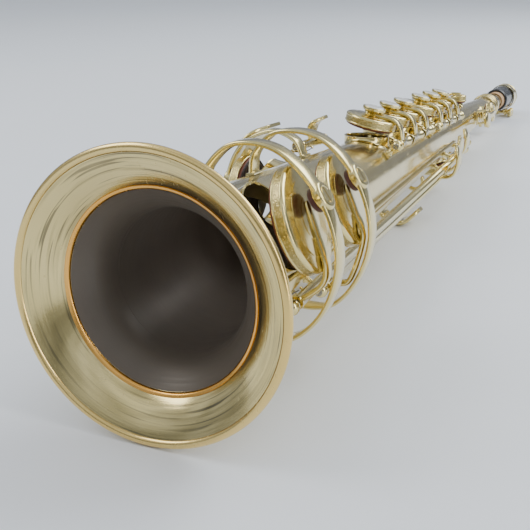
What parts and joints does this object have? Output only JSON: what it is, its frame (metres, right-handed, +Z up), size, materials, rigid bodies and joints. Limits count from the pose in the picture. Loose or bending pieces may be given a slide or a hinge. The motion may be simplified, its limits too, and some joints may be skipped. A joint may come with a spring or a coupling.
{
  "type": "straight soprano saxophone",
  "caption": "Straight conical brass woodwind lying on its back: flared bell, sprung padded keys under curved guards, neck with black mouthpiece and reed.",
  "frame": {"origin": "centre of the box round the part, at its lowest point", "axes": "+Y runs back from the bell towards the mouthpiece, +Z up, bell mouth faces -Y"},
  "size_m": [0.0968, 0.707, 0.097],
  "materials": {
    "lacquered_brass": "clear-lacquered polished yellow brass",
    "steel_rods": "drawn and ground steel rod",
    "leather_pads": "dark tan treated leather over felt",
    "pearl_touches": "polished imitation mother-of-pearl",
    "felt_bumpers": "dense wool felt",
    "cork": "waxed sheet cork",
    "ebonite": "polished black hard rubber",
    "cane": "cut and dried cane"
  },
  "bodies": {
    "horn": {"bell": "lacquered_brass", "bell_ring": "lacquered_brass", "body_tube": "lacquered_brass", "neck_receiver": "lacquered_brass", "receiver_screw": "lacquered_brass", "neck": "lacquered_brass", "neck_cork": "cork", "mouthpiece": "ebonite", "reed": "cane", "ligature": "lacquered_brass", "ligature_screw_1": "lacquered_brass", "ligature_screw_2": "lacquered_brass", "low_key_rib": "lacquered_brass", "low_bb_rod": "steel_rods", "low_b_rod": "steel_rods", "low_c_rib": "lacquered_brass", "low_c_rod": "steel_rods", "low_eb_rib": "lacquered_brass", "low_eb_rod": "steel_rods", "lower_stack_rib": "lacquered_brass", "lower_stack_rod": "steel_rods", "upper_stack_rib": "lacquered_brass", "upper_stack_rod": "steel_rods", "side_key_rib": "lacquered_brass", "side_c_rod": "steel_rods", "low_bb_guard": "lacquered_brass", "low_bb_bumper": "felt_bumpers", "low_b_guard": "lacquered_brass", "low_b_bumper": "felt_bumpers", "low_c_guard": "lacquered_brass", "low_c_bumper": "felt_bumpers", "octave_saddle": "lacquered_brass", "palm_key_saddle": "lacquered_brass", "thumb_hook": "lacquered_brass", "strap_ring": "lacquered_brass", "thumb_rest": "lacquered_brass"},
    "low_bb": {"low_bb_key": "lacquered_brass", "low_bb_pad": "leather_pads"},
    "low_b": {"low_b_key": "lacquered_brass", "low_b_pad": "leather_pads"},
    "low_c": {"low_c_key": "lacquered_brass", "low_c_pad": "leather_pads"},
    "low_eb": {"low_eb_key": "lacquered_brass"},
    "d": {"d_key": "lacquered_brass", "d_pearl": "pearl_touches"},
    "e": {"e_key": "lacquered_brass", "e_pearl": "pearl_touches"},
    "f": {"f_key": "lacquered_brass", "f_pearl": "pearl_touches"},
    "g": {"g_key": "lacquered_brass", "g_pearl": "pearl_touches"},
    "a": {"a_key": "lacquered_brass", "a_pearl": "pearl_touches"},
    "b": {"b_key": "lacquered_brass", "b_pearl": "pearl_touches"},
    "g_sharp": {"g_sharp_key": "lacquered_brass"},
    "side_c": {"side_c_key": "lacquered_brass"},
    "octave": {"octave_key": "lacquered_brass"},
    "octave_thumb": {"octave_thumb_lever": "lacquered_brass"},
    "palm_d": {"palm_d_key": "lacquered_brass"}
  },
  "joints": [
    {"name": "low_bb_hinge", "type": "hinge", "parent": "horn", "child": "low_bb", "pos_m": [0.03186, -0.30206, 0.03679], "axis": [-0.0302, 0.9989, -0.0346], "range_deg": [-14, 0], "stiffness_Nm_per_rad": 0.6},
    {"name": "low_b_hinge", "type": "hinge", "parent": "horn", "child": "low_b", "pos_m": [0.02713, -0.26042, 0.02774], "axis": [-0.0268, 0.9993, -0.0271], "range_deg": [-13, 0], "stiffness_Nm_per_rad": 0.6},
    {"name": "low_c_hinge", "type": "hinge", "parent": "horn", "child": "low_c", "pos_m": [-0.02022, -0.20472, 0.01978], "axis": [0.0211, 0.9996, -0.0204], "range_deg": [0, 13], "stiffness_Nm_per_rad": 0.45},
    {"name": "low_eb_hinge", "type": "hinge", "parent": "horn", "child": "low_eb", "pos_m": [-0.02143, -0.15893, 0.05956], "axis": [0.0235, 0.9976, -0.065], "range_deg": [0, 11], "stiffness_Nm_per_rad": 0.4},
    {"name": "d_hinge", "type": "hinge", "parent": "horn", "child": "d", "pos_m": [0.01886, -0.12701, 0.05708], "axis": [-0.0227, 0.9976, -0.0658], "range_deg": [-12, 0], "stiffness_Nm_per_rad": 0.3},
    {"name": "e_hinge", "type": "hinge", "parent": "horn", "child": "e", "pos_m": [0.01818, -0.09706, 0.05511], "axis": [-0.0227, 0.9976, -0.0658], "range_deg": [-12, 0], "stiffness_Nm_per_rad": 0.3},
    {"name": "f_hinge", "type": "hinge", "parent": "horn", "child": "f", "pos_m": [0.01752, -0.06812, 0.0532], "axis": [-0.0227, 0.9976, -0.0658], "range_deg": [-12, 0], "stiffness_Nm_per_rad": 0.3},
    {"name": "g_hinge", "type": "hinge", "parent": "horn", "child": "g", "pos_m": [0.01718, -0.02922, 0.05004], "axis": [-0.0235, 0.9976, -0.065], "range_deg": [-13, 0], "stiffness_Nm_per_rad": 0.3},
    {"name": "a_hinge", "type": "hinge", "parent": "horn", "child": "a", "pos_m": [0.01653, -0.00127, 0.04822], "axis": [-0.0235, 0.9976, -0.065], "range_deg": [-13, 0], "stiffness_Nm_per_rad": 0.3},
    {"name": "b_hinge", "type": "hinge", "parent": "horn", "child": "b", "pos_m": [0.01589, 0.02568, 0.04647], "axis": [-0.0235, 0.9976, -0.065], "range_deg": [-13, 0], "stiffness_Nm_per_rad": 0.3},
    {"name": "g_sharp_hinge", "type": "hinge", "parent": "horn", "child": "g_sharp", "pos_m": [0.02225, 0.01576, 0.02577], "axis": [-0.0302, 0.9989, -0.0346], "range_deg": [-12, 0], "stiffness_Nm_per_rad": 0.3},
    {"name": "side_c_hinge", "type": "hinge", "parent": "horn", "child": "side_c", "pos_m": [-0.02053, 0.05202, 0.03098], "axis": [0.0316, 0.9985, -0.0439], "range_deg": [-12, 0], "stiffness_Nm_per_rad": 0.3},
    {"name": "octave_hinge", "type": "hinge", "parent": "horn", "child": "octave", "pos_m": [-0.01688, 0.11027, 0.03525], "axis": [0.0293, 0.998, -0.0557], "range_deg": [-8.25, 0], "stiffness_Nm_per_rad": 0.3},
    {"name": "octave_thumb_hinge", "type": "hinge", "parent": "horn", "child": "octave_thumb", "pos_m": [0.00649, 0.08421, 0.01171], "axis": [-0.0108, 0.9998, -0.0142], "range_deg": [0, 5.5], "stiffness_Nm_per_rad": 0.3},
    {"name": "palm_d_hinge", "type": "hinge", "parent": "horn", "child": "palm_d", "pos_m": [0.0189, 0.12213, 0.03193], "axis": [-0.2079, 0.0429, 0.9772], "range_deg": [-9, 0], "stiffness_Nm_per_rad": 0.3}
  ],
  "couplings": [
    {"joint": "octave_hinge", "follows": "octave_thumb_hinge", "ratio": -1.5}
  ]
}
